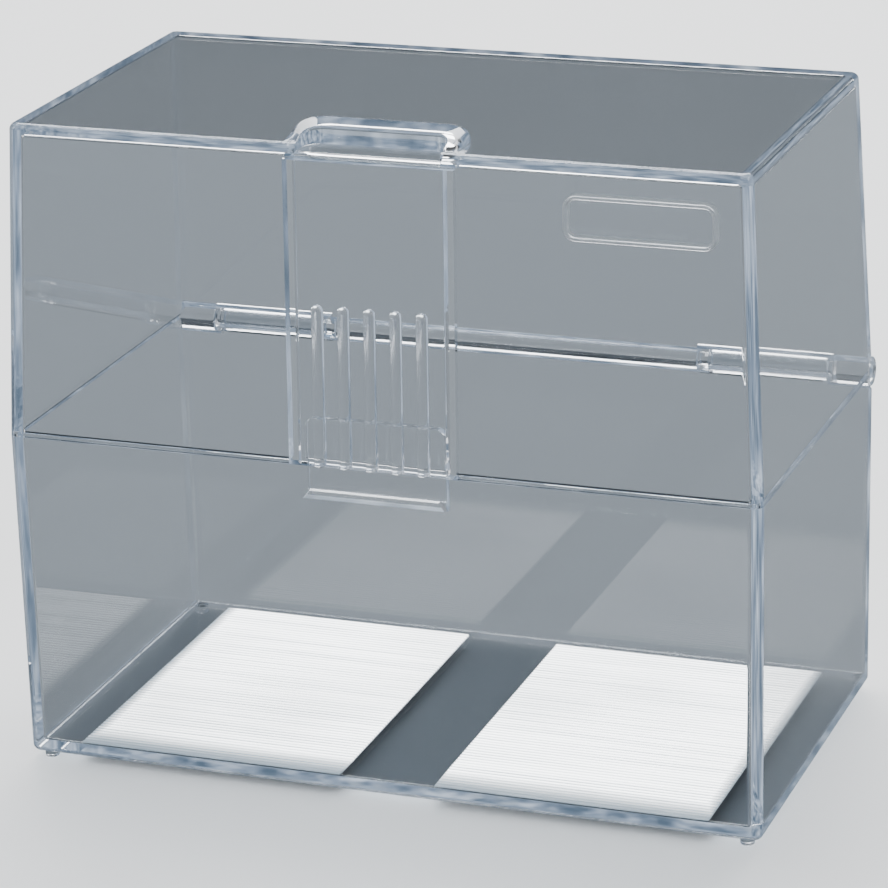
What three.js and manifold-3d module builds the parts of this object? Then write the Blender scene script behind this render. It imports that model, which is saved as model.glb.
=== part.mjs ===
// Clear card-index box with a hinged lid and a press-in front latch.
//
// Millimetres, +Z up, front towards -Y. Shapes are drawn with z = 0 at the
// parting plane between base and lid, and y = 0 halfway through the depth.
// The group at the end lifts them onto the feet and centres them.

import * as THREE from 'three';
import { mergeVertices } from 'three/addons/utils/BufferGeometryUtils.js';
import Module from 'manifold-3d';

const wasm = await Module();
wasm.setup();

// Overall size, measured at the parting plane where the box is widest.
const WIDTH = 160;
const DEPTH = 88;
const BASE_HEIGHT = 70.5;
const LID_HEIGHT = 65.6;
const FOOT_HEIGHT = 1.8;

// Mouldings.
const WALL = 2.4;
const FLOOR_THICKNESS = 2.4;
const TOP_THICKNESS = 2.4;
const LID_TAPER = Math.tan(THREE.MathUtils.degToRad(2.4));
const BASE_TAPER = Math.tan(THREE.MathUtils.degToRad(0.2));
const CORNER_RADIUS = 2;
const LID_EDGE_RADIUS = 1.3;
const BASE_EDGE_RADIUS = 1.5;

// Centring lip on the inner half of the base's rim.
const LIP_HEIGHT = 0.6;
const LIP_THICKNESS = 1.1;
const LIP_CLEARANCE = 0.3;
const LIP_BACK_END = 36;

// Hinge along the back edge, with its axis in the parting plane.
const AXIS_Y = 43.6;
const END_RADIUS = 3.2;
const KNUCKLE_RADIUS = 3.1;
const BARREL_RADIUS = 2.5;
const PIN_RADIUS = 1.5;
const BORE_RADIUS = 1.56;
const BARREL_HALF = 42;
const KNUCKLE_INNER = 44.6;
const KNUCKLE_OUTER = 68.6;
const END_INNER = 69.6;
const END_OUTER = 79.9;
const PIN_INNER = 36;
const PIN_OUTER = 78;
const SWEEP_CLEARANCE = 0.4;
const STOP_REACH = 3.8;
const STOP_TOP = -1.8;
const STOP_HEIGHT = 1.4;
const STOP_INNER = 42.3;
const STOP_OUTER = 67.2;

// Latch tongue cut free in the lid's front wall, its ribs and its hook.
const TONGUE_HALF = 15.7;
const SLOT_HALF = 17.8;
const SLOT_TOP = 62.4;
const RUNNING_GAP = 0.3;
const RIB_COUNT = 5;
const RIB_PITCH = 5.5;
const RIB_RADIUS = 1.3;
const RIB_TOP = 33.5;
const HOOK_HALF = 14.8;
const HOOK_TOP = 9.4;
const HOOK_BOTTOM = -7.8;
const HOOK_THICKNESS = 1.6;
const HOOK_SETBACK = 0.9;
const HOOK_CORNER = 2;
const NOSE_REACH = 0.4;
const NOSE_TOP = -5.6;
const NOSE_HEIGHT = 0.8;
const WINDOW_TOP = -5.3;
const WINDOW_BOTTOM = -7;
const WINDOW_TOP_HALF = 13.8;
const WINDOW_BOTTOM_HALF = 15.1;

// Thumb scoop behind the tongue: a raised rim round a shallow pocket.
const RIM_HALF = 18;
const RIM_BACK = -26.4;
const RIM_CREST = 2.5;
const RIM_LIP = 0.3;
const RIM_BACK_RUN = 3;
const RIM_FRONT_RUN = 9;
const RIM_CORNER = 6;
const POCKET_HALF = 15.2;
const POCKET_BACK = -34;
const POCKET_DEPTH = 1.65;
const POCKET_CORNER = 3.5;
const PAD_THICKNESS = 0.7;

// Grooved panels on the floor of the base.
const PANEL_INNER = 10.4;
const PANEL_OUTER = 68.4;
const PANEL_FRONT = -41;
const GROOVE_PITCH = 1.28;
const GROOVE_COUNT = 62;
const PANEL_SKIN = 0.2;
const GROOVE_DEPTH = 0.35;

// Blank raised frame on the lid's front, and the feet.
const FRAME_X = 55.4;
const FRAME_Z = 54.8;
const FRAME_WIDTH = 30.6;
const FRAME_HEIGHT = 9;
const FRAME_LINE = 0.8;
const FRAME_RAISE = 0.35;
const FRAME_CORNER = 2.6;
const FOOT_RADIUS = 1.5;
const FOOT_ROUND = 0.4;
const FOOT_X = 76.2;
const FOOT_Y = 40.6;

const PARTING_Z = FOOT_HEIGHT + BASE_HEIGHT;
const FRONT = -DEPTH / 2;
const BACK = DEPTH / 2;
const FRONT_MOST = FRONT - RIB_RADIUS;
const BACK_MOST = AXIS_Y + STOP_REACH;
const CENTRE_Y = (FRONT_MOST + BACK_MOST) / 2;
const SPARE = 1;
const WELD = 1e-4;
const OVERLAP = 0.01;
const ROUND_STEPS = 32;
const FINE_STEPS = 24;
const FOOT_STEPS = 16;

// ---- joining and cutting -------------------------------------------------

function solid(geometry) {
  const bare = geometry.index ? geometry.toNonIndexed() : geometry.clone();
  bare.deleteAttribute('normal');
  bare.deleteAttribute('uv');
  const merged = mergeVertices(bare, WELD);
  return new wasm.Manifold(new wasm.Mesh({
    numProp: 3,
    vertProperties: new Float32Array(merged.attributes.position.array),
    triVerts: new Uint32Array(merged.index.array),
  }));
}

function geometryOf(body) {
  const mesh = body.getMesh();
  const geometry = new THREE.BufferGeometry();
  geometry.setAttribute('position', new THREE.BufferAttribute(mesh.vertProperties, 3));
  geometry.setIndex(new THREE.BufferAttribute(mesh.triVerts, 1));
  geometry.computeVertexNormals();
  return geometry;
}

function cut(body, ...tools) {
  return tools.reduce((rest, tool) => rest.subtract(tool), body);
}

// ---- basic shapes --------------------------------------------------------

function box(x0, x1, y0, y1, z0, z1) {
  const geometry = new THREE.BoxGeometry(x1 - x0, y1 - y0, z1 - z0);
  geometry.translate((x0 + x1) / 2, (y0 + y1) / 2, (z0 + z1) / 2);
  return solid(geometry);
}

function roundedRectangle(halfX, halfY, radius) {
  const shape = new THREE.Shape();
  shape.moveTo(halfX, radius - halfY);
  shape.absarc(halfX - radius, halfY - radius, radius, 0, Math.PI / 2);
  shape.absarc(radius - halfX, halfY - radius, radius, Math.PI / 2, Math.PI);
  shape.absarc(radius - halfX, radius - halfY, radius, Math.PI, 1.5 * Math.PI);
  shape.absarc(halfX - radius, radius - halfY, radius, 1.5 * Math.PI, 2 * Math.PI);
  return shape;
}

// A rounded block whose walls lean in as |z| grows, with its far edge rounded.
function taperedBlock(width, depth, z0, z1, radius, taper, edge) {
  const shape = roundedRectangle(width / 2, depth / 2, radius);
  const bevel = edge > 0;
  const geometry = new THREE.ExtrudeGeometry(shape, {
    depth: z1 - z0 - (bevel ? 2 * edge : 0),
    curveSegments: 5,
    bevelEnabled: bevel,
    bevelThickness: edge,
    bevelSize: edge,
    bevelOffset: -edge,
    bevelSegments: 3,
  });
  geometry.translate(0, 0, z0 + (bevel ? edge : 0));
  const place = geometry.attributes.position;
  for (let i = 0; i < place.count; i += 1) {
    const inset = 2 * taper * place.getZ(i);
    place.setX(i, place.getX(i) * (width - inset) / width);
    place.setY(i, place.getY(i) * (depth - inset) / depth);
  }
  return geometry;
}

function lidBlock(inset, z0, z1, edge = 0) {
  const radius = Math.max(CORNER_RADIUS - inset, 0.6);
  const width = WIDTH - 2 * inset;
  return solid(taperedBlock(width, DEPTH - 2 * inset, z0, z1, radius, LID_TAPER, edge));
}

function baseBlock(inset, zLow, zHigh, edge = 0) {
  const radius = Math.max(CORNER_RADIUS - inset, 0.6);
  const width = WIDTH - 2 * inset;
  const geometry = taperedBlock(width, DEPTH - 2 * inset, -zHigh, -zLow, radius, BASE_TAPER, edge);
  return solid(geometry.rotateX(Math.PI));
}

// A round bar along X, centred on the hinge axis.
function axisBar(x0, x1, radius) {
  const geometry = new THREE.CylinderGeometry(radius, radius, x1 - x0, ROUND_STEPS);
  geometry.rotateZ(Math.PI / 2);
  geometry.translate((x0 + x1) / 2, AXIS_Y, 0);
  return solid(geometry);
}

function extruded(shape, length) {
  return new THREE.ExtrudeGeometry(shape, { depth: length, curveSegments: 7, bevelEnabled: false });
}

// An outline in the XY plane, raised from z0 to z1.
function upright(shape, z0, z1) {
  const geometry = extruded(shape, z1 - z0);
  geometry.translate(0, 0, z0);
  return solid(geometry);
}

// An outline in the XZ plane, running from y0 to y1.
function frontOutline(shape, y0, y1) {
  const geometry = extruded(shape, y1 - y0);
  geometry.rotateX(Math.PI / 2);
  geometry.translate(0, y1, 0);
  return solid(geometry);
}

// An outline in the YZ plane, running from x0 to x1.
function sideOutline(shape, x0, x1) {
  const geometry = extruded(shape, x1 - x0);
  geometry.rotateY(Math.PI / 2);
  geometry.rotateX(Math.PI / 2);
  geometry.translate(x0, 0, 0);
  return solid(geometry);
}

function outline(points) {
  return new THREE.Shape(points.map(([a, b]) => new THREE.Vector2(a, b)));
}

// Leans a shape back with the lid's front wall.
function leanWithLid(body) {
  const geometry = geometryOf(body);
  const place = geometry.attributes.position;
  for (let i = 0; i < place.count; i += 1) {
    place.setY(i, place.getY(i) + place.getZ(i) * LID_TAPER);
  }
  return solid(geometry);
}

// ---- base ----------------------------------------------------------------

function rimRing(outerInset, innerInset, z1) {
  return cut(lidBlock(outerInset, -OVERLAP, z1), lidBlock(innerInset, -SPARE, z1 + SPARE));
}

function centringLip() {
  const ring = rimRing(WALL - LIP_THICKNESS, WALL, LIP_HEIGHT);
  return cut(
    ring,
    box(-WIDTH, WIDTH, LIP_BACK_END, DEPTH, -SPARE, LIP_HEIGHT + SPARE),
    box(-SLOT_HALF - RUNNING_GAP, SLOT_HALF + RUNNING_GAP, -DEPTH, 0, -SPARE, LIP_HEIGHT + SPARE),
  );
}

function catchWindow() {
  const shape = outline([
    [-WINDOW_BOTTOM_HALF, WINDOW_BOTTOM],
    [WINDOW_BOTTOM_HALF, WINDOW_BOTTOM],
    [WINDOW_TOP_HALF, WINDOW_TOP],
    [-WINDOW_TOP_HALF, WINDOW_TOP],
  ]);
  return frontOutline(shape, FRONT - SPARE, FRONT + WALL + SPARE);
}

function baseTray() {
  const outer = cut(
    baseBlock(0, -BASE_HEIGHT, 2 * BASE_EDGE_RADIUS, BASE_EDGE_RADIUS),
    box(-WIDTH, WIDTH, -DEPTH, DEPTH, 0, 3 * BASE_EDGE_RADIUS),
  );
  const shell = cut(outer, baseBlock(WALL, FLOOR_THICKNESS - BASE_HEIGHT, SPARE)).add(centringLip());
  return cut(
    shell,
    catchWindow(),
    axisBar(-KNUCKLE_INNER, KNUCKLE_INNER, BARREL_RADIUS + SWEEP_CLEARANCE),
    axisBar(KNUCKLE_OUTER, WIDTH, END_RADIUS + SWEEP_CLEARANCE),
    axisBar(-WIDTH, -KNUCKLE_OUTER, END_RADIUS + SWEEP_CLEARANCE),
    axisBar(KNUCKLE_INNER, KNUCKLE_OUTER, KNUCKLE_RADIUS),
    axisBar(-KNUCKLE_OUTER, -KNUCKLE_INNER, KNUCKLE_RADIUS),
  );
}

// A base knuckle with the strip behind it that stops the open lid.
function hingeKnuckle(side) {
  const strip = box(
    STOP_INNER, STOP_OUTER,
    BACK, AXIS_Y + STOP_REACH,
    STOP_TOP - STOP_HEIGHT, STOP_TOP,
  );
  const sweep = axisBar(0, KNUCKLE_INNER, BARREL_RADIUS + SWEEP_CLEARANCE);
  const bore = axisBar(KNUCKLE_INNER - SPARE, KNUCKLE_OUTER + SPARE, BORE_RADIUS);
  const knuckle = cut(axisBar(KNUCKLE_INNER, KNUCKLE_OUTER, KNUCKLE_RADIUS).add(cut(strip, sweep)), bore);
  return side > 0 ? knuckle : knuckle.mirror([1, 0, 0]);
}

function floorPanel(side) {
  const floor = FLOOR_THICKNESS - BASE_HEIGHT;
  const points = [[PANEL_FRONT, floor]];
  for (let i = 0; i < GROOVE_COUNT; i += 1) {
    const y = PANEL_FRONT + i * GROOVE_PITCH;
    points.push([y, floor + PANEL_SKIN]);
    points.push([y + GROOVE_PITCH / 2, floor + PANEL_SKIN + GROOVE_DEPTH]);
  }
  const back = PANEL_FRONT + GROOVE_COUNT * GROOVE_PITCH;
  points.push([back, floor + PANEL_SKIN], [back, floor]);
  const x0 = side > 0 ? PANEL_INNER : -PANEL_OUTER;
  return sideOutline(outline(points.reverse()), x0, x0 + PANEL_OUTER - PANEL_INNER);
}

function foot(x, y) {
  const profile = [
    new THREE.Vector2(0, 0),
    new THREE.Vector2(FOOT_RADIUS - FOOT_ROUND, 0),
    new THREE.Vector2(FOOT_RADIUS, FOOT_ROUND),
    new THREE.Vector2(FOOT_RADIUS, FOOT_HEIGHT),
    new THREE.Vector2(0, FOOT_HEIGHT),
  ];
  const geometry = new THREE.LatheGeometry(profile, FOOT_STEPS);
  geometry.rotateX(Math.PI / 2);
  geometry.translate(x, y, -PARTING_Z);
  return solid(geometry);
}

// ---- lid -----------------------------------------------------------------

function pocket() {
  const shape = new THREE.Shape();
  const cornerX = POCKET_HALF - POCKET_CORNER;
  const cornerY = POCKET_BACK - POCKET_CORNER;
  shape.moveTo(-POCKET_HALF, -DEPTH);
  shape.lineTo(POCKET_HALF, -DEPTH);
  shape.absarc(cornerX, cornerY, POCKET_CORNER, 0, Math.PI / 2);
  shape.absarc(-cornerX, cornerY, POCKET_CORNER, Math.PI / 2, Math.PI);
  return upright(shape, LID_HEIGHT - POCKET_DEPTH, LID_HEIGHT + 2 * RIM_CREST);
}

function lidShell() {
  const outer = cut(
    lidBlock(0, -2 * LID_EDGE_RADIUS, LID_HEIGHT, LID_EDGE_RADIUS),
    box(-WIDTH, WIDTH, -DEPTH, DEPTH, -3 * LID_EDGE_RADIUS, 0),
  );
  const shell = cut(outer, lidBlock(WALL, -SPARE, LID_HEIGHT - TOP_THICKNESS));
  const padBottom = LID_HEIGHT - TOP_THICKNESS - PAD_THICKNESS;
  const wallInside = FRONT + WALL / 2 + padBottom * LID_TAPER;
  const pad = box(-SLOT_HALF, SLOT_HALF, wallInside, POCKET_BACK + WALL, padBottom, LID_HEIGHT - SPARE);
  const tongueWindow = box(-SLOT_HALF, SLOT_HALF, -DEPTH, POCKET_BACK, -SPARE, SLOT_TOP);
  const rabbet = rimRing(WALL - LIP_THICKNESS - LIP_CLEARANCE, WALL + SPARE, LIP_HEIGHT + LIP_CLEARANCE);
  return cut(
    shell.add(pad),
    pocket(),
    tongueWindow,
    rabbet,
    axisBar(-BARREL_HALF, BARREL_HALF, BARREL_RADIUS),
    axisBar(END_INNER, WIDTH, END_RADIUS),
    axisBar(-WIDTH, -END_INNER, END_RADIUS),
    axisBar(BARREL_HALF, END_INNER, KNUCKLE_RADIUS + SWEEP_CLEARANCE),
    axisBar(-END_INNER, -BARREL_HALF, KNUCKLE_RADIUS + SWEEP_CLEARANCE),
  );
}

function gripRim() {
  const front = FRONT + LID_HEIGHT * LID_TAPER + LID_EDGE_RADIUS;
  const plan = new THREE.Shape();
  plan.moveTo(-RIM_HALF, front);
  plan.lineTo(RIM_HALF, front);
  plan.absarc(RIM_HALF - RIM_CORNER, RIM_BACK - RIM_CORNER, RIM_CORNER, 0, Math.PI / 2);
  plan.absarc(RIM_CORNER - RIM_HALF, RIM_BACK - RIM_CORNER, RIM_CORNER, Math.PI / 2, Math.PI);
  const crest = LID_HEIGHT + RIM_CREST;
  const side = new THREE.Shape();
  side.moveTo(front - OVERLAP, LID_HEIGHT);
  side.lineTo(RIM_BACK, LID_HEIGHT);
  side.quadraticCurveTo(RIM_BACK, crest, RIM_BACK - RIM_BACK_RUN, crest);
  side.quadraticCurveTo(RIM_BACK - RIM_FRONT_RUN, crest, front - OVERLAP, LID_HEIGHT + RIM_LIP);
  const ramp = sideOutline(side, -RIM_HALF, RIM_HALF);
  return cut(ramp.intersect(upright(plan, LID_HEIGHT, crest)), pocket());
}

function labelFrame() {
  const shape = roundedRectangle(FRAME_WIDTH / 2, FRAME_HEIGHT / 2, FRAME_CORNER);
  const insideHalf = FRAME_WIDTH / 2 - FRAME_LINE;
  const inside = roundedRectangle(insideHalf, FRAME_HEIGHT / 2 - FRAME_LINE, FRAME_CORNER - FRAME_LINE);
  const plate = frontOutline(shape, FRONT - FRAME_RAISE, FRONT);
  const opening = frontOutline(inside, FRONT - SPARE, FRONT + SPARE);
  return leanWithLid(cut(plate, opening).translate([FRAME_X, 0, FRAME_Z]));
}

function hingeBarrel() {
  return cut(
    axisBar(-BARREL_HALF, BARREL_HALF, BARREL_RADIUS),
    axisBar(PIN_INNER - RUNNING_GAP, BARREL_HALF + SPARE, BORE_RADIUS),
    axisBar(-BARREL_HALF - SPARE, RUNNING_GAP - PIN_INNER, BORE_RADIUS),
  );
}

function hingeEnd(side) {
  const bore = axisBar(END_INNER - SPARE, PIN_OUTER + RUNNING_GAP, BORE_RADIUS);
  const end = cut(axisBar(END_INNER, END_OUTER, END_RADIUS), bore);
  return side > 0 ? end : end.mirror([1, 0, 0]);
}

function hingePin(side) {
  return side > 0 ? axisBar(PIN_INNER, PIN_OUTER, PIN_RADIUS) : axisBar(-PIN_OUTER, -PIN_INNER, PIN_RADIUS);
}

// ---- latch ---------------------------------------------------------------

function latchTongue() {
  const plate = box(-TONGUE_HALF, TONGUE_HALF, FRONT, FRONT + WALL, RUNNING_GAP, SLOT_TOP - RUNNING_GAP);
  return leanWithLid(plate);
}

// A half-round rib on the tongue's outer face, with a domed top end.
function gripRib(index) {
  const length = RIB_TOP - RIB_RADIUS - RUNNING_GAP;
  const bar = new THREE.CylinderGeometry(RIB_RADIUS, RIB_RADIUS, length, FINE_STEPS);
  bar.rotateX(Math.PI / 2);
  bar.translate(0, 0, RUNNING_GAP + length / 2);
  const dome = new THREE.SphereGeometry(RIB_RADIUS, FINE_STEPS, FINE_STEPS / 2);
  dome.rotateX(Math.PI / 2);
  dome.translate(0, 0, RUNNING_GAP + length);
  const behind = box(-2 * RIB_RADIUS, 2 * RIB_RADIUS, 0, 2 * RIB_RADIUS, -SPARE, RIB_TOP + SPARE);
  const rib = cut(solid(bar).add(solid(dome)), behind);
  return leanWithLid(rib.translate([(index - (RIB_COUNT - 1) / 2) * RIB_PITCH, FRONT, 0]));
}

// The hook plate behind the tongue: it hangs inside the base's front wall, and
// its nose stops just short of the catch window.
function latchHook() {
  const inside = FRONT + WALL;
  const face = inside + HOOK_SETBACK;
  const back = face + HOOK_THICKNESS;
  const side = outline([
    [inside + SPARE * LID_TAPER, SPARE],
    [face, SPARE],
    [face, NOSE_TOP],
    [face - NOSE_REACH, NOSE_TOP],
    [face - NOSE_REACH, NOSE_TOP - NOSE_HEIGHT],
    [face, HOOK_BOTTOM],
    [back, HOOK_BOTTOM],
    [back, HOOK_TOP],
    [inside + HOOK_TOP * LID_TAPER, HOOK_TOP],
  ]);
  const rounded = new THREE.Shape();
  rounded.moveTo(-HOOK_HALF, HOOK_BOTTOM);
  rounded.lineTo(HOOK_HALF, HOOK_BOTTOM);
  rounded.absarc(HOOK_HALF - HOOK_CORNER, HOOK_TOP - HOOK_CORNER, HOOK_CORNER, 0, Math.PI / 2);
  rounded.absarc(HOOK_CORNER - HOOK_HALF, HOOK_TOP - HOOK_CORNER, HOOK_CORNER, Math.PI / 2, Math.PI);
  return sideOutline(side, -HOOK_HALF, HOOK_HALF).intersect(frontOutline(rounded, FRONT, back + SPARE));
}

// ---- assembly ------------------------------------------------------------

function clearPlastic(tint) {
  return new THREE.MeshStandardMaterial({
    color: tint,
    roughness: 0.06,
    metalness: 0,
    transparent: true,
    opacity: 0.35,
  });
}

const WALL_TINT = 0x93a0ac;
const EDGE_TINT = 0xb4c6d6;
const PANEL_TINT = 0xf2f6f8;

const cardBox = new THREE.Group();
cardBox.position.set(0, -CENTRE_Y, PARTING_Z);

function addPart(name, body, tint) {
  const mesh = new THREE.Mesh(geometryOf(body), clearPlastic(tint));
  mesh.name = name;
  cardBox.add(mesh);
}

addPart('base_tray', baseTray(), WALL_TINT);
addPart('lid_shell', lidShell(), WALL_TINT);
addPart('grip_rim', gripRim(), EDGE_TINT);
addPart('label_frame', labelFrame(), EDGE_TINT);
addPart('hinge_barrel', hingeBarrel(), EDGE_TINT);
for (const [word, side] of [['left', -1], ['right', 1]]) {
  addPart(`floor_panel_${word}`, floorPanel(side), PANEL_TINT);
  addPart(`hinge_knuckle_${word}`, hingeKnuckle(side), EDGE_TINT);
  addPart(`hinge_end_${word}`, hingeEnd(side), EDGE_TINT);
  addPart(`hinge_pin_${word}`, hingePin(side), EDGE_TINT);
  addPart(`foot_front_${word}`, foot(side * FOOT_X, -FOOT_Y), EDGE_TINT);
  addPart(`foot_back_${word}`, foot(side * FOOT_X, FOOT_Y), EDGE_TINT);
}
addPart('latch_tongue', latchTongue(), WALL_TINT);
addPart('latch_hook', latchHook(), EDGE_TINT);
for (let i = 0; i < RIB_COUNT; i += 1) {
  addPart(`grip_rib_${i + 1}`, gripRib(i), EDGE_TINT);
}

const model = new THREE.Group();
model.add(cardBox);

export default model;
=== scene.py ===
"""Clear plastic card-index box: the looks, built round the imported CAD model.

Shapes are drawn in millimetres in box coordinates: z = 0 at the parting plane
between base and lid, y = 0 halfway through the depth, the front towards -Y.
publish() moves a finished mesh into the frame's own metres.
"""

import math

import bmesh
import bpy
from mathutils import Matrix, Vector


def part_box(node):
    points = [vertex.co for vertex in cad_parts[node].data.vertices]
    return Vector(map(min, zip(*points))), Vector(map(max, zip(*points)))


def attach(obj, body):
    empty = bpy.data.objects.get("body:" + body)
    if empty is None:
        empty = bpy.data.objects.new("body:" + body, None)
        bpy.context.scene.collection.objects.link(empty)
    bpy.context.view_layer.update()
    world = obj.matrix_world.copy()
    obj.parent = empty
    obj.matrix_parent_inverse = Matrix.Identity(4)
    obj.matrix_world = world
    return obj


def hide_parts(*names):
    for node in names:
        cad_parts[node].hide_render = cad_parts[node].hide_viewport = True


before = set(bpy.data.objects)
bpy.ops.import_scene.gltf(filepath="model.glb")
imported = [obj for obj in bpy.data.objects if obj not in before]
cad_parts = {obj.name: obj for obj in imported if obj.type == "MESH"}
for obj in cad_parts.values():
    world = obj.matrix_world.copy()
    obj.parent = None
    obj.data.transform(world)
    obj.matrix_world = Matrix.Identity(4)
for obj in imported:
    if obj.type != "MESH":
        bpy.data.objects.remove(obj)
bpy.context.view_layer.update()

# ---- driving sizes, from the frame ------------------------------------------

MM = 0.001
tray_low, tray_high = (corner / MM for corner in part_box("base_tray"))
lid_low, lid_high = (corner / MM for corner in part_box("lid_shell"))
PARTING = lid_low.z
MID_Y = (tray_low.y + tray_high.y) / 2
HALF_WIDTH = tray_high.x
HALF_DEPTH = (tray_high.y - tray_low.y) / 2


def node_box(node):
    """A CAD node's lowest and highest corner, in millimetres and box coordinates."""
    shift = Vector((0, MID_Y, PARTING))
    return tuple(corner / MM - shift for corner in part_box(node))


LID_TOP = lid_high.z - PARTING
BASE_BOTTOM = node_box("foot_front_left")[1].z

# ---- moulding details, in millimetres ---------------------------------------

WALL = 2.4
LID_LEAN = math.tan(math.radians(2.4))
BASE_LEAN = math.tan(math.radians(0.2))
CORNER = 2.0
LID_EDGE = 1.3
BASE_EDGE = 1.5
INNER_CORNER = 0.9
INNER_EDGE = 0.7
LIP_THICKNESS = 1.1
LIP_CLEARANCE = 0.3
LIP_BACK_END = 36.0
SEAM = 0.06
SPARE = 1.0
SMALL_ROUND = 0.12
GROOVE_PITCH = 1.28
WINDOW_TOP = -5.3
WINDOW_BOTTOM = -7.0
WINDOW_HALF = 15.1
WINDOW_TAPER = 1.3
WINDOW_SKIN = 0.1
OUTLINE_HALF = 0.4
OUTLINE_CORNER = 2.2
FAR = 200    # well past the box, for cutters
CORNER_STEPS = 10
ROUND_STEPS = 56

# ---- mesh helpers -----------------------------------------------------------


def new_object(name, points, faces):
    mesh = bpy.data.meshes.new(name)
    mesh.from_pydata([tuple(p) for p in points], [], faces)
    mesh.update()
    obj = bpy.data.objects.new(name, mesh)
    bpy.context.scene.collection.objects.link(obj)
    return obj


def loft(rings):
    """A closed solid through rings with equally many points, capped at both ends."""
    count = len(rings[0])
    faces = []
    for r in range(len(rings) - 1):
        for i in range(count):
            j = (i + 1) % count
            low, high = r * count, (r + 1) * count
            faces.append((low + i, low + j, high + j, high + i))
    faces.append(tuple(reversed(range(count))))
    faces.append(tuple(range((len(rings) - 1) * count, len(rings) * count)))
    return new_object("solid", [p for ring in rings for p in ring], faces)


def arc(cx, cy, radius, start, end, steps):
    """Points on an arc, with its angles in degrees."""
    turns = [math.radians(start + (end - start) * i / steps) for i in range(steps + 1)]
    return [(cx + radius * math.cos(t), cy + radius * math.sin(t)) for t in turns]


def rounded_rectangle(half_x, half_y, radius, steps=CORNER_STEPS):
    x, y = half_x - radius, half_y - radius
    return (
        arc(x, y, radius, 0, 90, steps)
        + arc(-x, y, radius, 90, 180, steps)
        + arc(-x, -y, radius, 180, 270, steps)
        + arc(x, -y, radius, 270, 360, steps)
    )


def box_ring(inset, z, radius):
    outline = rounded_rectangle(HALF_WIDTH - inset, HALF_DEPTH - inset, radius)
    return [(x, y, z) for x, y in outline]


def lean_at(z):
    return z * LID_LEAN if z > 0 else -z * BASE_LEAN


def leaning_block(inset, near, far, corner, edge, steps=8):
    """A rounded block from z = near to z = far, whose walls lean in with distance
    from the parting plane, and whose far edge is rounded."""
    sign = 1 if far > near else -1
    rings = [box_ring(inset + lean_at(near), near, corner)]
    for i in range(steps + 1):
        turn = math.pi / 2 * i / steps
        z = far - sign * edge * (1 - math.sin(turn))
        extra = edge * (1 - math.cos(turn))
        rings.append(box_ring(inset + lean_at(z) + extra, z, max(corner - extra, 0.2)))
    return loft(rings if sign > 0 else rings[::-1])


def prism(outline, start, end, axis):
    """An outline drawn anticlockwise, run along an axis. For "x" the outline is in (y, z),
    for "y" in (x, z) and for "z" in (x, y)."""
    place = {
        "x": lambda a, b, c: (c, a, b),
        "y": lambda a, b, c: (a, -c, b),
        "z": lambda a, b, c: (a, b, c),
    }[axis]
    if axis == "y":
        start, end = -end, -start
    return loft([[place(a, b, c) for a, b in outline] for c in (start, end)])


def block(x0, x1, y0, y1, z0, z1):
    return prism([(x0, y0), (x1, y0), (x1, y1), (x0, y1)], z0, z1, "z")


def rod(x0, x1, radius, round_end=0.0, steps=ROUND_STEPS):
    """A round bar on the hinge axis, its ends rounded by round_end."""
    stations = [(x0, radius)]
    if round_end:
        near = [(round_end - a, radius - round_end + b) for a, b in arc(0, 0, round_end, 0, 90, 5)]
        stations = [(x0 + a, b) for a, b in near]
        stations += [(x1 - a, b) for a, b in near[::-1]]
    else:
        stations.append((x1, radius))
    rings = []
    for x, r in stations:
        circle = arc(AXIS_Y, 0, r, 0, 360 * (1 - 1 / steps), steps - 1)
        rings.append([(x, y, z) for y, z in circle])
    return loft(rings)


def evaluated(obj):
    graph = bpy.context.evaluated_depsgraph_get()
    return bpy.data.meshes.new_from_object(obj.evaluated_get(graph))


def bake_modifiers(obj):
    mesh = evaluated(obj)
    obj.modifiers.clear()
    obj.data = mesh
    return obj


def combine(operation, obj, *others):
    for other in others:
        modifier = obj.modifiers.new("csg", "BOOLEAN")
        modifier.operation = operation
        modifier.solver = "MANIFOLD"
        modifier.object = other
        bake_modifiers(obj)
        bpy.data.objects.remove(other)
    return obj


def join(obj, *others):
    return combine("UNION", obj, *others)


def cut(obj, *others):
    return combine("DIFFERENCE", obj, *others)


def common(obj, other):
    return combine("INTERSECT", obj, other)


def lean(obj):
    """Leans a shape back with the lid's front wall."""
    for v in obj.data.vertices:
        v.co.y += v.co.z * LID_LEAN
    return obj


def soften(obj, width, segments=2, angle=35):
    """Rounds the sharp edges by a small radius."""
    modifier = obj.modifiers.new("soften", "BEVEL")
    modifier.width = width
    modifier.segments = segments
    modifier.limit_method = "ANGLE"
    modifier.angle_limit = math.radians(angle)
    modifier.use_clamp_overlap = True
    return bake_modifiers(obj)


def clean(obj):
    """Merges points closer than a few microns and drops the slivers between them."""
    mesh = bmesh.new()
    mesh.from_mesh(obj.data)
    bmesh.ops.remove_doubles(mesh, verts=mesh.verts, dist=0.004)
    bmesh.ops.dissolve_degenerate(mesh, dist=0.002, edges=mesh.edges)
    mesh.to_mesh(obj.data)
    mesh.free()


def publish(obj, name, body, slot, material, *replaced):
    """Moves a finished mesh from millimetres and box coordinates into the frame."""
    clean(obj)
    obj.name = name
    obj.data.name = name
    obj.data.transform(Matrix.Scale(MM, 4) @ Matrix.Translation((0, MID_Y, PARTING)))
    for face in obj.data.polygons:
        face.use_smooth = True
    obj.data.set_sharp_from_angle(angle=math.radians(32))
    weighted = obj.modifiers.new("weighted", "WEIGHTED_NORMAL")
    weighted.weight = 90
    weighted.keep_sharp = True
    bake_modifiers(obj)
    obj.data.materials.clear()
    obj.data.materials.append(material)
    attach(obj, body)
    if replaced:
        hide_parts(*replaced)
    return obj


# ---- materials --------------------------------------------------------------

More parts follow.
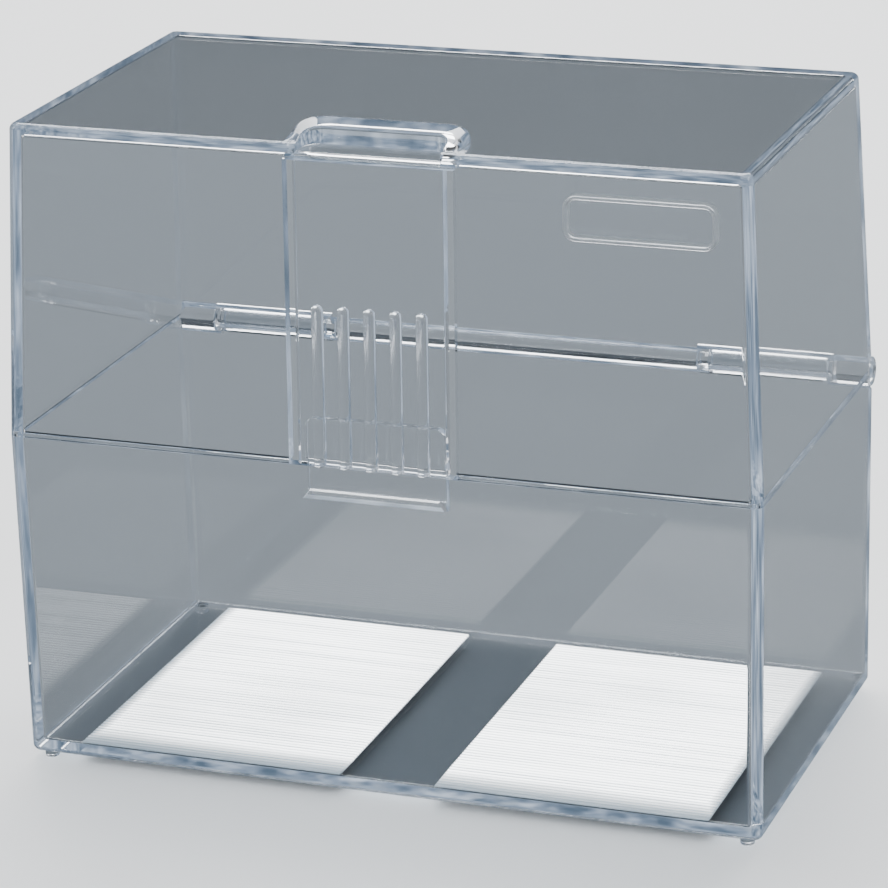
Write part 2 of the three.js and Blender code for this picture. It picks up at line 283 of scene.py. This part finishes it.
GLOSSY_LIMIT = 4
DEPTH_LIMIT = 12
WALL_TINT = (0.92, 0.935, 0.95, 1)
SHADOW_TINT = (0.62, 0.64, 0.655, 1)
# strength of the painted glow of the floor grooves, which are no lamp
GROOVE_GLOW = 6.0
STRONG_FROST = 0.4
FAINT_FROST = 0.16
SEAM_LEVEL = 0.05


def new_material(name):
    material = bpy.data.materials.new(name)
    material.use_nodes = True
    return material, material.node_tree.nodes, material.node_tree.links


def maths(nodes, links, operation, first, second=None):
    """A Math node on one or two sockets or numbers."""
    node = nodes.new("ShaderNodeMath")
    node.operation = operation
    for index, value in enumerate((first, second)):
        if isinstance(value, (int, float)):
            node.inputs[index].default_value = value
        elif value is not None:
            links.new(value, node.inputs[index])
    return node.outputs[0]


def product(nodes, links, first, *others):
    for other in others:
        first = maths(nodes, links, "MULTIPLY", first, other)
    return first


def ramp_of(nodes, links, factor, stops):
    node = nodes.new("ShaderNodeValToRGB")
    elements = node.color_ramp.elements
    for position, colour in stops[1:-1]:
        elements.new(position)
    for element, (position, colour) in zip(elements, stops):
        element.position = position
        element.color = (*colour, 1)
    links.new(factor, node.inputs["Fac"])
    return node.outputs["Color"]


def noise(nodes, links, vector, scale, detail, stretch=None):
    if stretch:
        mapping = nodes.new("ShaderNodeMapping")
        mapping.inputs["Scale"].default_value = stretch
        links.new(vector, mapping.inputs["Vector"])
        vector = mapping.outputs["Vector"]
    node = nodes.new("ShaderNodeTexNoise")
    node.inputs["Scale"].default_value = scale
    node.inputs["Detail"].default_value = detail
    links.new(vector, node.inputs["Vector"])
    return node.outputs["Fac"]


def place_of(nodes, links):
    """The object coordinates, whole and split into x, y and z."""
    place = nodes.new("ShaderNodeTexCoord")
    split = nodes.new("ShaderNodeSeparateXYZ")
    links.new(place.outputs["Object"], split.inputs[0])
    return place.outputs["Object"], [split.outputs[axis] for axis in ("X", "Y", "Z")]


def near_outline(nodes, links, x, y, z):
    """1 on the raised outline on the lid's front."""
    low, high = node_box("label_frame")
    overs = []
    for value, near, far, shift in ((x, low.x, high.x, 0), (z, low.z, high.z, PARTING)):
        offset = maths(nodes, links, "SUBTRACT", value, ((near + far) / 2 + shift) * MM)
        straight = ((far - near) / 2 - OUTLINE_HALF - OUTLINE_CORNER) * MM
        over = maths(nodes, links, "SUBTRACT", maths(nodes, links, "ABSOLUTE", offset), straight)
        over = maths(nodes, links, "MAXIMUM", over, 0.0)
        overs.append(maths(nodes, links, "MULTIPLY", over, over))
    reach = maths(nodes, links, "SQRT", maths(nodes, links, "ADD", *overs))
    offset = maths(nodes, links, "SUBTRACT", reach, OUTLINE_CORNER * MM)
    offset = maths(nodes, links, "ABSOLUTE", offset)
    line = maths(nodes, links, "LESS_THAN", offset, (OUTLINE_HALF + 0.02) * MM)
    return maths(nodes, links, "MULTIPLY", line, maths(nodes, links, "LESS_THAN", y, 0.0))


def near_window(nodes, links, x, y, z):
    """1 on the edges of the catch window in the base's front."""
    middle = PARTING + (WINDOW_TOP + WINDOW_BOTTOM) / 2
    offset = maths(nodes, links, "SUBTRACT", z, middle * MM)
    reach = ((WINDOW_TOP - WINDOW_BOTTOM) / 2 + 0.02) * MM
    level = maths(nodes, links, "LESS_THAN", maths(nodes, links, "ABSOLUTE", offset), reach)
    side = (WINDOW_HALF + WINDOW_SKIN) * MM
    sideways = maths(nodes, links, "LESS_THAN", maths(nodes, links, "ABSOLUTE", x), side)
    front = MID_Y - HALF_DEPTH
    behind = maths(nodes, links, "GREATER_THAN", y, (front + WINDOW_SKIN) * MM)
    before = maths(nodes, links, "LESS_THAN", y, (front + WALL - WINDOW_SKIN) * MM)
    return product(nodes, links, level, sideways, behind, before)


def on_ribs(nodes, links, x, y, z):
    """1 on the grip ribs, which stand proud of the latch's leaning front."""
    rise = maths(nodes, links, "SUBTRACT", z, PARTING * MM)
    leaned = maths(nodes, links, "MULTIPLY", rise, LID_LEAN)
    front = maths(nodes, links, "ADD", leaned, (MID_Y - HALF_DEPTH) * MM)
    return maths(nodes, links, "LESS_THAN", maths(nodes, links, "SUBTRACT", y, front), -0.1 * MM)


def painted_piped_glow(nodes, links, vector):
    """A painted glow standing in for the light that the walls pipe along inside them, which comes
    out at the edges in fine streaks. A ray still bouncing inside after its last allowed turn
    takes that glow."""
    path = nodes.new("ShaderNodeLightPath")
    turned = maths(nodes, links, "GREATER_THAN", path.outputs["Glossy Depth"], GLOSSY_LIMIT - 0.5)
    deep = maths(nodes, links, "GREATER_THAN", path.outputs["Ray Depth"], DEPTH_LIMIT - 0.5)
    streaks = noise(nodes, links, vector, 1.0, 2, (150, 150, 60))
    colour = ramp_of(nodes, links, streaks, [
        (0.38, (0.06, 0.09, 0.13)), (0.52, (0.17, 0.22, 0.3)), (0.66, (0.44, 0.51, 0.6))])
    light = nodes.new("ShaderNodeEmission")
    links.new(colour, light.inputs["Color"])
    links.new(maths(nodes, links, "MAXIMUM", turned, deep), light.inputs["Strength"])
    return light.outputs[0]


def clear_plastic(name, thin_below, frost_level, *frosted_zones):
    """Crystal polystyrene, faintly blue-grey, with fine handling marks, and frosted in some
    zones. Below the height thin_below it has no tint. Lamps reach through it."""
    material, nodes, links = new_material(name)
    glass = nodes["Principled BSDF"]
    glass.inputs["Transmission Weight"].default_value = 1.0
    glass.inputs["IOR"].default_value = 1.59
    vector, axes = place_of(nodes, links)
    tint = nodes.new("ShaderNodeMix")
    tint.data_type = "RGBA"
    tint.inputs["A"].default_value = WALL_TINT
    tint.inputs["B"].default_value = (1, 1, 1, 1)
    links.new(maths(nodes, links, "LESS_THAN", axes[2], thin_below * MM), tint.inputs["Factor"])
    links.new(tint.outputs["Result"], glass.inputs["Base Color"])
    marks = nodes.new("ShaderNodeMapRange")
    marks.inputs["From Min"].default_value = 0.35
    marks.inputs["From Max"].default_value = 0.75
    marks.inputs["To Min"].default_value = 0.008
    marks.inputs["To Max"].default_value = 0.03
    links.new(noise(nodes, links, vector, 60, 6), marks.inputs["Value"])
    rough = marks.outputs["Result"]
    for zone in frosted_zones:
        frost = maths(nodes, links, "MULTIPLY", zone(nodes, links, *axes), frost_level)
        rough = maths(nodes, links, "ADD", rough, frost)
    links.new(rough, glass.inputs["Roughness"])
    through = nodes.new("ShaderNodeBsdfTransparent")
    through.inputs["Color"].default_value = SHADOW_TINT
    path = nodes.new("ShaderNodeLightPath")
    mix = nodes.new("ShaderNodeMixShader")
    links.new(path.outputs["Is Shadow Ray"], mix.inputs[0])
    links.new(glass.outputs[0], mix.inputs[1])
    links.new(through.outputs[0], mix.inputs[2])
    # the glass also carries the painted glow of piped light at its edges
    lit = nodes.new("ShaderNodeAddShader")
    links.new(mix.outputs[0], lit.inputs[0])
    links.new(painted_piped_glow(nodes, links, vector), lit.inputs[1])
    links.new(lit.outputs[0], nodes["Material Output"].inputs["Surface"])
    return material


def grooved_plastic(name, first_groove, outer_end):
    """The floor's fine grooves, with the light they scatter painted on: white crests as painted
    highlights and grey valleys as painted shade, each groove a little different from the next,
    fading at the front and at their outer ends. The same colour also glows as painted light."""
    material, nodes, links = new_material(name)
    white = nodes["Principled BSDF"]
    white.inputs["IOR"].default_value = 1.59
    white.inputs["Roughness"].default_value = 0.3
    vector, (x, y, z) = place_of(nodes, links)
    along = maths(nodes, links, "SUBTRACT", y, first_groove * MM)
    turns = maths(nodes, links, "DIVIDE", along, GROOVE_PITCH * MM)
    share = maths(nodes, links, "FRACT", turns)
    off_crest = maths(nodes, links, "ABSOLUTE", maths(nodes, links, "SUBTRACT", share, 0.5))
    uneven = noise(nodes, links, vector, 1.0, 3, (14, 420, 1))
    shift = maths(nodes, links, "MULTIPLY", maths(nodes, links, "SUBTRACT", uneven, 0.5), 0.35)
    # painted highlight on each crest, painted shade in each valley
    crest_highlight_valley_shade = ramp_of(nodes, links, maths(nodes, links, "ADD", off_crest, shift), [
        (0.14, (0.97, 0.97, 0.96)), (0.3, (0.66, 0.69, 0.7)), (0.46, (0.14, 0.17, 0.19))])
    front = maths(nodes, links, "MULTIPLY", along, 120)
    inwards = maths(nodes, links, "ABSOLUTE", maths(nodes, links, "SUBTRACT", x, outer_end * MM))
    side = maths(nodes, links, "MULTIPLY", inwards, 300)
    side = maths(nodes, links, "ADD", side, maths(nodes, links, "MULTIPLY", uneven, 0.5))
    fade = maths(nodes, links, "MINIMUM", maths(nodes, links, "MINIMUM", front, side), 1.0)
    fade = maths(nodes, links, "MULTIPLY", fade, fade)
    cloud = noise(nodes, links, vector, 22, 1)
    cloud = maths(nodes, links, "MINIMUM", maths(nodes, links, "ADD", cloud, 0.42), 1.0)
    mix = nodes.new("ShaderNodeMix")
    mix.data_type = "RGBA"
    mix.inputs["A"].default_value = (0.05, 0.066, 0.08, 1)
    links.new(maths(nodes, links, "MULTIPLY", fade, cloud), mix.inputs["Factor"])
    links.new(crest_highlight_valley_shade, mix.inputs["B"])
    links.new(mix.outputs["Result"], white.inputs["Base Color"])
    # the groove colour is also emitted: a painted glow, for rays seen straight through a wall
    links.new(mix.outputs["Result"], white.inputs["Emission Color"])
    path = nodes.new("ShaderNodeLightPath")
    bounces = maths(nodes, links, "ADD", path.outputs["Glossy Depth"], path.outputs["Diffuse Depth"])
    seen = maths(nodes, links, "LESS_THAN", bounces, 0.5)
    through_wall = maths(nodes, links, "GREATER_THAN", path.outputs["Transmission Depth"], 0.5)
    seen = maths(nodes, links, "MULTIPLY", seen, through_wall)
    links.new(maths(nodes, links, "MULTIPLY", seen, GROOVE_GLOW), white.inputs["Emission Strength"])
    return material


# ---- hinge sizes, most of them from the frame -------------------------------

barrel_low, barrel_high = node_box("hinge_barrel")
AXIS_Y = (barrel_low.y + barrel_high.y) / 2
BARREL_HALF = barrel_high.x
BARREL_RADIUS = barrel_high.z
knuckle_low, knuckle_high = node_box("hinge_knuckle_right")
KNUCKLE_RADIUS = knuckle_high.z
KNUCKLE_OUTER = knuckle_high.x
KNUCKLE_INNER = BARREL_HALF + 2.6
STOP_INNER = knuckle_low.x
STOP_OUTER = KNUCKLE_OUTER - 1.4
STOP_BACK = knuckle_high.y
STOP_TOP = -1.8
STOP_HEIGHT = 1.4
end_low, end_high = node_box("hinge_end_right")
END_INNER, END_OUTER, END_RADIUS = end_low.x, end_high.x, end_high.z
PIN_RADIUS = node_box("hinge_pin_right")[1].z
BORE_RADIUS = PIN_RADIUS + 0.06
SWEEP_CLEARANCE = 0.4
KNUCKLE_ROUND = 0.35
BARREL_ROUND = 0.3
END_ROUND = 0.6
PIN_ROOT = 2

# ---- base moulding ----------------------------------------------------------

SLOT_MARGIN = 2.1
FOOT_ROUND = 0.5
tongue_high = node_box("latch_tongue")[1]
TONGUE_HALF = tongue_high.x
SLOT_HALF = TONGUE_HALF + SLOT_MARGIN
SLOT_TOP = tongue_high.z + 0.3


def rim_ring(outer_inset, inner_inset, z0, z1):
    outer = leaning_block(outer_inset, z0, z1, max(CORNER - outer_inset, 0.6), 0.05, 1)
    inner = leaning_block(inner_inset, z0 - SPARE, z1 + SPARE, max(CORNER - inner_inset, 0.6), 0.05, 1)
    return cut(outer, inner)


def centring_lip():
    height = tray_high.z - PARTING
    ring = rim_ring(WALL - LIP_THICKNESS, WALL, -0.3, height)
    gap = SLOT_HALF + 0.3
    return cut(
        ring,
        block(-FAR, FAR, LIP_BACK_END, FAR, -SPARE, height + SPARE),
        block(-gap, gap, -FAR, 0, -SPARE, height + SPARE),
    )


def catch_window():
    half_top = WINDOW_HALF - WINDOW_TAPER
    outline = [(-WINDOW_HALF, WINDOW_BOTTOM), (WINDOW_HALF, WINDOW_BOTTOM)]
    outline += [(half_top, WINDOW_TOP), (-half_top, WINDOW_TOP)]
    return prism(outline, -HALF_DEPTH - SPARE, -HALF_DEPTH + WALL + SPARE, "y")


def foot(node):
    low, high = node_box(node)
    x, y = (low.x + high.x) / 2, (low.y + high.y) / 2
    radius = (high.x - low.x) / 2
    profile = [(radius - FOOT_ROUND * (1 - math.sin(t)), low.z + FOOT_ROUND * (1 - math.cos(t)))
               for t in (math.pi / 2 * i / 4 for i in range(5))]
    rings = [[(px, py, z) for px, py in arc(x, y, r, 0, 345, 23)]
             for r, z in profile + [(radius, high.z + 0.4)]]
    return loft(rings)


def knuckle(side):
    """A base knuckle with the strip behind it that stops the open lid."""
    inner, outer = sorted((side * KNUCKLE_INNER, side * KNUCKLE_OUTER))
    body = rod(inner, outer, KNUCKLE_RADIUS, KNUCKLE_ROUND)
    x0, x1 = sorted((side * STOP_INNER, side * STOP_OUTER))
    strip = block(x0, x1, HALF_DEPTH - 0.6, STOP_BACK, STOP_TOP - STOP_HEIGHT, STOP_TOP)
    sweep0, sweep1 = sorted((side * (STOP_INNER - SPARE), side * KNUCKLE_INNER))
    strip = cut(strip, rod(sweep0, sweep1, BARREL_RADIUS + SWEEP_CLEARANCE))
    return join(body, strip)


def base_moulding(material):
    tray = cut(
        leaning_block(0, 0, BASE_BOTTOM, CORNER, BASE_EDGE),
        leaning_block(WALL, SPARE, BASE_BOTTOM + WALL, INNER_CORNER, INNER_EDGE),
    )
    tray = join(tray, centring_lip())
    tray = cut(
        tray,
        catch_window(),
        rod(-KNUCKLE_INNER, KNUCKLE_INNER, BARREL_RADIUS + SWEEP_CLEARANCE),
        rod(KNUCKLE_OUTER, FAR, END_RADIUS + SWEEP_CLEARANCE),
        rod(-FAR, -KNUCKLE_OUTER, END_RADIUS + SWEEP_CLEARANCE),
    )
    tray = join(tray, knuckle(-1), knuckle(1))
    bore_start = KNUCKLE_INNER - SPARE
    tray = cut(tray, rod(-FAR, -bore_start, BORE_RADIUS), rod(bore_start, FAR, BORE_RADIUS))
    feet = [f"foot_{a}_{b}" for a in ("front", "back") for b in ("left", "right")]
    tray = join(tray, *[foot(node) for node in feet])
    soften(tray, SMALL_ROUND)
    publish(tray, "base_moulding", "base", "clear_plastic", material,
            "base_tray", "hinge_knuckle_left", "hinge_knuckle_right", *feet)


def floor_grooves(side, material):
    """A field of fine half-round ridges on the floor of the base."""
    node = f"floor_panel_{side}"
    low, high = node_box(node)
    count = round((high.y - low.y) / GROOVE_PITCH)
    bottom = low.z + 0.03
    outline = [(low.y, bottom), (high.y, bottom)]
    for i in range(count - 1, -1, -1):
        start = low.y + i * GROOVE_PITCH
        for share in (0.96, 0.82, 0.66, 0.5, 0.34, 0.18, 0.04):
            rise = math.sin(math.pi * share) ** 0.7
            outline.append((start + share * GROOVE_PITCH, low.z + 0.15 + 0.38 * rise))
    panel = prism(outline, low.x, high.x, "x")
    publish(panel, f"floor_grooves_{side}", "base", "grooved_floor", material, node)


# ---- lid moulding -----------------------------------------------------------

rim_high = node_box("grip_rim")[1]
RIM_HALF = rim_high.x
RIM_BACK = rim_high.y
RIM_CREST = rim_high.z - LID_TOP
RIM_CORNER = 6.0
RIM_FRONT = -40.7
RIM_FADE_FRONT = -40.4
RIM_FADE_LENGTH = 11.0
RIM_SINK = 0.3
RIM_OVERLAP = 0.05
POCKET_HALF = 15.2
POCKET_BACK = -34.0
POCKET_DEPTH = 1.65
POCKET_CORNER = 3.5
POCKET_FLOOR = LID_TOP - POCKET_DEPTH
PAD_DEPTH = 0.7


def u_path(half, back, corner, front):
    """A U, open to the front: up the left arm, round the back, down the right arm."""
    left = [(-half, front + (back - corner - front) * i / 14) for i in range(14)]
    turn_left = arc(-half + corner, back - corner, corner, 180, 90, 12)
    middle = [(-half + corner + 2 * (half - corner) * i / 10, back) for i in range(1, 10)]
    turn_right = arc(half - corner, back - corner, corner, 90, 0, 12)
    right = [(-x, y) for x, y in reversed(left)]
    return left + turn_left + middle + turn_right + right


def rim_height(y):
    """The rim's crest above the lid's top: full at the back, sinking away at the front."""
    share = min(max((y - RIM_FADE_FRONT) / RIM_FADE_LENGTH, 0), 1)
    return -RIM_SINK + (RIM_CREST + RIM_SINK) * (1 - (1 - share) ** 2)


def grip_rim():
    """The raised bead round the thumb scoop, as a band lofted between two U paths."""
    outer = u_path(RIM_HALF, RIM_BACK, RIM_CORNER, RIM_FRONT)
    inner_half, inner_back = POCKET_HALF - RIM_OVERLAP, POCKET_BACK - RIM_OVERLAP
    inner = u_path(inner_half, inner_back, POCKET_CORNER, RIM_FRONT)
    bottom = POCKET_FLOOR - RIM_SINK
    rings = []
    for (ox, oy), (ix, iy) in zip(outer, inner):
        width = math.hypot(ix - ox, iy - oy)
        round_out = min(2.4, 0.62 * width)
        round_in = min(0.5, 0.2 * width)
        section = [(0, bottom - LID_TOP), (0, -0.2)]
        section += [(round_out * (1 - math.cos(t)), math.sin(t)) for t in
                    (math.pi / 2 * k / 8 for k in range(1, 9))]
        section += [(width - round_in * (1 - math.sin(t)), 1 - 0.22 * (1 - math.cos(t))) for t in
                    (math.pi / 2 * k / 4 for k in range(1, 5))]
        section += [(width, bottom - LID_TOP)]
        ring = []
        for k, (d, rise) in enumerate(section):
            y = oy + (iy - oy) * d / width
            x = ox + (ix - ox) * d / width
            height = rim_height(y)
            z = LID_TOP + (rise if k in (0, 1, len(section) - 1) else rise * height)
            ring.append((x, y, z))
        rings.append(ring)
    return loft(rings)


def pocket():
    """The thumb scoop, open to the front, with its front edge rounded over."""
    front = -HALF_DEPTH + POCKET_FLOOR * LID_LEAN
    above = LID_TOP + 2 * RIM_CREST
    side = [(POCKET_BACK, POCKET_FLOOR), (POCKET_BACK, above), (front - 4, above)]
    side += [(front - 4, POCKET_FLOOR - LID_EDGE)]
    side += [(front + LID_EDGE - LID_EDGE * math.cos(t), POCKET_FLOOR - LID_EDGE + LID_EDGE * math.sin(t))
             for t in (math.pi / 2 * k / 8 for k in range(9))]
    x, y = POCKET_HALF - POCKET_CORNER, POCKET_BACK - POCKET_CORNER
    plan = [(-POCKET_HALF, -60), (POCKET_HALF, -60)]
    plan += arc(x, y, POCKET_CORNER, 0, 90, 10) + arc(-x, y, POCKET_CORNER, 90, 180, 10)
    return common(prism(side, -POCKET_HALF, POCKET_HALF, "x"), prism(plan, 50, 80, "z"))


def label_frame():
    """The blank raised outline on the lid's front."""
    low, high = node_box("label_frame")
    x, z = (low.x + high.x) / 2, (low.z + high.z) / 2
    half_x, half_z = (high.x - low.x) / 2, (high.z - low.z) / 2
    centre = rounded_rectangle(half_x - OUTLINE_HALF, half_z - OUTLINE_HALF, OUTLINE_CORNER, 8)
    section = [(-OUTLINE_HALF, -0.4), (-OUTLINE_HALF, 0.05), (-0.26, 0.25), (0, 0.35)]
    section += [(0.26, 0.25), (OUTLINE_HALF, 0.05), (OUTLINE_HALF, -0.4)]
    count = len(centre)
    points, faces = [], []
    for i, (px, pz) in enumerate(centre):
        before, after = centre[i - 1], centre[(i + 1) % count]
        tangent = Vector((after[0] - before[0], after[1] - before[1])).normalized()
        out = Vector((tangent.y, -tangent.x))
        for d, rise in section:
            points.append((x + px + out.x * d, -HALF_DEPTH - rise, z + pz + out.y * d))
    size = len(section)
    for i in range(count):
        j = (i + 1) % count
        for k in range(size):
            m = (k + 1) % size
            faces.append((i * size + k, i * size + m, j * size + m, j * size + k))
    return lean(new_object("outline", points, faces))


def lid_moulding(material):
    shell = cut(
        leaning_block(0, SEAM, LID_TOP, CORNER, LID_EDGE),
        leaning_block(WALL, -SPARE, LID_TOP - WALL, INNER_CORNER, INNER_EDGE),
    )
    pad_bottom = LID_TOP - WALL - PAD_DEPTH
    wall_inside = -HALF_DEPTH + WALL / 2 + pad_bottom * LID_LEAN
    pad = block(-SLOT_HALF, SLOT_HALF, wall_inside, POCKET_BACK + WALL, pad_bottom, LID_TOP - SPARE)
    shell = join(shell, pad)
    shell = cut(shell, pocket())
    slot_back = -HALF_DEPTH + WALL + SLOT_TOP * LID_LEAN + 0.3
    rebate_inset = WALL - LIP_THICKNESS - LIP_CLEARANCE
    shell = cut(
        shell,
        block(-SLOT_HALF, SLOT_HALF, -60, slot_back, -SPARE, SLOT_TOP),
        rim_ring(rebate_inset, WALL + SPARE, -SPARE, tray_high.z - PARTING + LIP_CLEARANCE),
        rod(-END_INNER, -BARREL_HALF, KNUCKLE_RADIUS + SWEEP_CLEARANCE),
        rod(BARREL_HALF, END_INNER, KNUCKLE_RADIUS + SWEEP_CLEARANCE),
    )
    shell = join(
        shell,
        rod(-BARREL_HALF, BARREL_HALF, BARREL_RADIUS, BARREL_ROUND),
        rod(END_INNER, END_OUTER, END_RADIUS, END_ROUND),
        rod(-END_OUTER, -END_INNER, END_RADIUS, END_ROUND),
        rod(BARREL_HALF - PIN_ROOT, END_INNER + PIN_ROOT, PIN_RADIUS),
        rod(-END_INNER - PIN_ROOT, PIN_ROOT - BARREL_HALF, PIN_RADIUS),
    )
    soften(shell, SMALL_ROUND)
    shell = join(shell, grip_rim(), label_frame())
    publish(shell, "lid_moulding", "lid", "clear_plastic", material,
            "lid_shell", "grip_rim", "label_frame", "hinge_barrel", "hinge_end_left",
            "hinge_end_right", "hinge_pin_left", "hinge_pin_right")


# ---- latch moulding ---------------------------------------------------------


def grip_rib(node):
    """A half-round rib on the tongue's outer face, domed at the top and cut flat below."""
    low, high = node_box(node)
    x, radius = (low.x + high.x) / 2, (high.x - low.x) / 2
    stations = [(low.z, radius)]
    stations += [(high.z - radius + radius * math.sin(t), max(radius * math.cos(t), 0.02))
                 for t in (math.pi / 2 * k / 8 for k in range(9))]
    rings = [[(px, py, z) for px, py in arc(x, -HALF_DEPTH, r, 0, 350, 35)] for z, r in stations]
    return lean(loft(rings))


def latch_hook():
    """The hook plate behind the tongue, with its nose just short of the catch window."""
    low, high = node_box("latch_hook")
    inside = -HALF_DEPTH + WALL
    face, back = inside + 0.9, inside + 2.5
    nose, nose_top, nose_height = 0.4, -5.6, 0.8
    side = [
        (inside - 0.2, 1.0), (face, 1.0), (face, nose_top), (face - nose, nose_top),
        (face - nose, nose_top - nose_height), (face, low.z), (back, low.z), (back, high.z),
        (inside + high.z * LID_LEAN - 0.2, high.z),
    ]
    half, corner = high.x, 2.0
    plan = [(-half, low.z), (half, low.z)]
    plan += arc(half - corner, high.z - corner, corner, 0, 90, 8)
    plan += arc(corner - half, high.z - corner, corner, 90, 180, 8)
    return common(prism(side, -half, half, "x"), prism(plan, -HALF_DEPTH - 1, back + 1, "y"))


def latch_moulding(material):
    low = node_box("latch_tongue")[0]
    top = SLOT_TOP - SEAM
    tongue = lean(block(-TONGUE_HALF, TONGUE_HALF, -HALF_DEPTH, -HALF_DEPTH + WALL, low.z, top))
    ribs = [f"grip_rib_{i}" for i in range(1, 6)]
    tongue = join(tongue, latch_hook())
    soften(tongue, SMALL_ROUND)
    tongue = join(tongue, *[grip_rib(node) for node in ribs])
    publish(tongue, "latch_moulding", "latch", "clear_plastic", material,
            "latch_tongue", "latch_hook", *ribs)


# ---- stage ------------------------------------------------------------------


def pale_floor():
    """The floor is pale where the camera sees it. Plastic shows it as a mid-grey, as if the
    box stood on a grey sheet and had been cut out on to a pale one."""
    size = 6.0
    corners = [(-size, -size, 0), (size, -size, 0), (size, size, 0), (-size, size, 0)]
    floor = new_object("floor", corners, [(0, 1, 2, 3)])
    material, nodes, links = new_material("pale_floor")
    surface = nodes["Principled BSDF"]
    surface.inputs["Roughness"].default_value = 0.9
    surface.inputs["Specular IOR Level"].default_value = 0.1
    path = nodes.new("ShaderNodeLightPath")
    mix = nodes.new("ShaderNodeMix")
    mix.data_type = "RGBA"
    mix.inputs["A"].default_value = (0.147, 0.163, 0.178, 1)
    mix.inputs["B"].default_value = (0.88, 0.89, 0.9, 1)
    links.new(path.outputs["Is Camera Ray"], mix.inputs["Factor"])
    links.new(mix.outputs["Result"], surface.inputs["Base Color"])
    floor.data.materials.append(material)


def studio_sky():
    """A dark room that gets light overhead."""
    world = bpy.data.worlds.new("studio")
    bpy.context.scene.world = world
    world.use_nodes = True
    nodes, links = world.node_tree.nodes, world.node_tree.links
    place = nodes.new("ShaderNodeTexCoord")
    split = nodes.new("ShaderNodeSeparateXYZ")
    links.new(place.outputs["Generated"], split.inputs[0])
    sky = ramp_of(nodes, links, split.outputs["Z"], [
        (0.15, (0.06, 0.07, 0.08)), (0.3, (0.012, 0.014, 0.016)), (0.45, (0.03, 0.035, 0.04)),
        (0.7, (0.5, 0.52, 0.54)), (0.9, (0.95, 0.97, 1.0))])
    links.new(sky, nodes["Background"].inputs["Color"])


def soft_light(name, at, towards, width, height, power):
    data = bpy.data.lights.new(name, "AREA")
    data.shape = "RECTANGLE"
    data.size, data.size_y = width, height
    data.energy = power
    lamp = bpy.data.objects.new(name, data)
    bpy.context.scene.collection.objects.link(lamp)
    lamp.location = at
    lamp.rotation_mode = "QUATERNION"
    lamp.rotation_quaternion = (Vector(towards) - Vector(at)).to_track_quat("-Z", "Y")


def camera():
    """The photograph's viewing angle: to the box's right and a little above it."""
    azimuth, elevation, roll = (math.radians(a) for a in (20.5, 19.38, -1.62))
    distance, right_shift, up_shift = 0.8283, -0.00076, -0.00854
    forward = Vector((-math.sin(azimuth) * math.cos(elevation),
                      math.cos(azimuth) * math.cos(elevation), -math.sin(elevation)))
    right = forward.cross(Vector((0, 0, 1))).normalized()
    up = right.cross(forward)
    rolled_right = math.cos(roll) * right + math.sin(roll) * up
    rolled_up = -math.sin(roll) * right + math.cos(roll) * up
    centre = Vector((0, MID_Y, PARTING)) * MM
    place = centre - forward * distance + rolled_right * right_shift + rolled_up * up_shift
    data = bpy.data.cameras.new("camera")
    data.sensor_width = 36
    data.lens = 161.2
    data.clip_start, data.clip_end = 0.05, 50
    view = bpy.data.objects.new("camera", data)
    bpy.context.scene.collection.objects.link(view)
    turn = Matrix((rolled_right, rolled_up, -forward)).transposed().to_4x4()
    view.matrix_world = Matrix.Translation(place) @ turn
    bpy.context.scene.camera = view


camera()
pale_floor()
studio_sky()
soft_light("top_softbox", (-0.15, 0.3, 1.3), (0, 0, 0.07), 0.9, 0.5, 17)
soft_light("back_softbox", (-0.25, 1.15, 1.2), (0, 0, 0.1), 1.3, 0.8, 31)
soft_light("left_softbox", (-1.5, -0.9, 0.9), (0, 0, 0.07), 0.9, 1.2, 6)
soft_light("right_strip", (1.4, -0.5, 0.8), (0, 0, 0.07), 0.4, 1.4, 7)

clear = clear_plastic("clear_polystyrene", -SPARE, STRONG_FROST, near_outline, near_window)
clear_latch = clear_plastic("clear_polystyrene_latch", PARTING - SEAM_LEVEL, FAINT_FROST, on_ribs)
base_moulding(clear)
for side in ("left", "right"):
    low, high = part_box(f"floor_panel_{side}")
    outer_end = low.x if side == "left" else high.x
    grooved = grooved_plastic(f"grooved_polystyrene_{side}", low.y / MM, outer_end / MM)
    floor_grooves(side, grooved)
lid_moulding(clear)
latch_moulding(clear_latch)
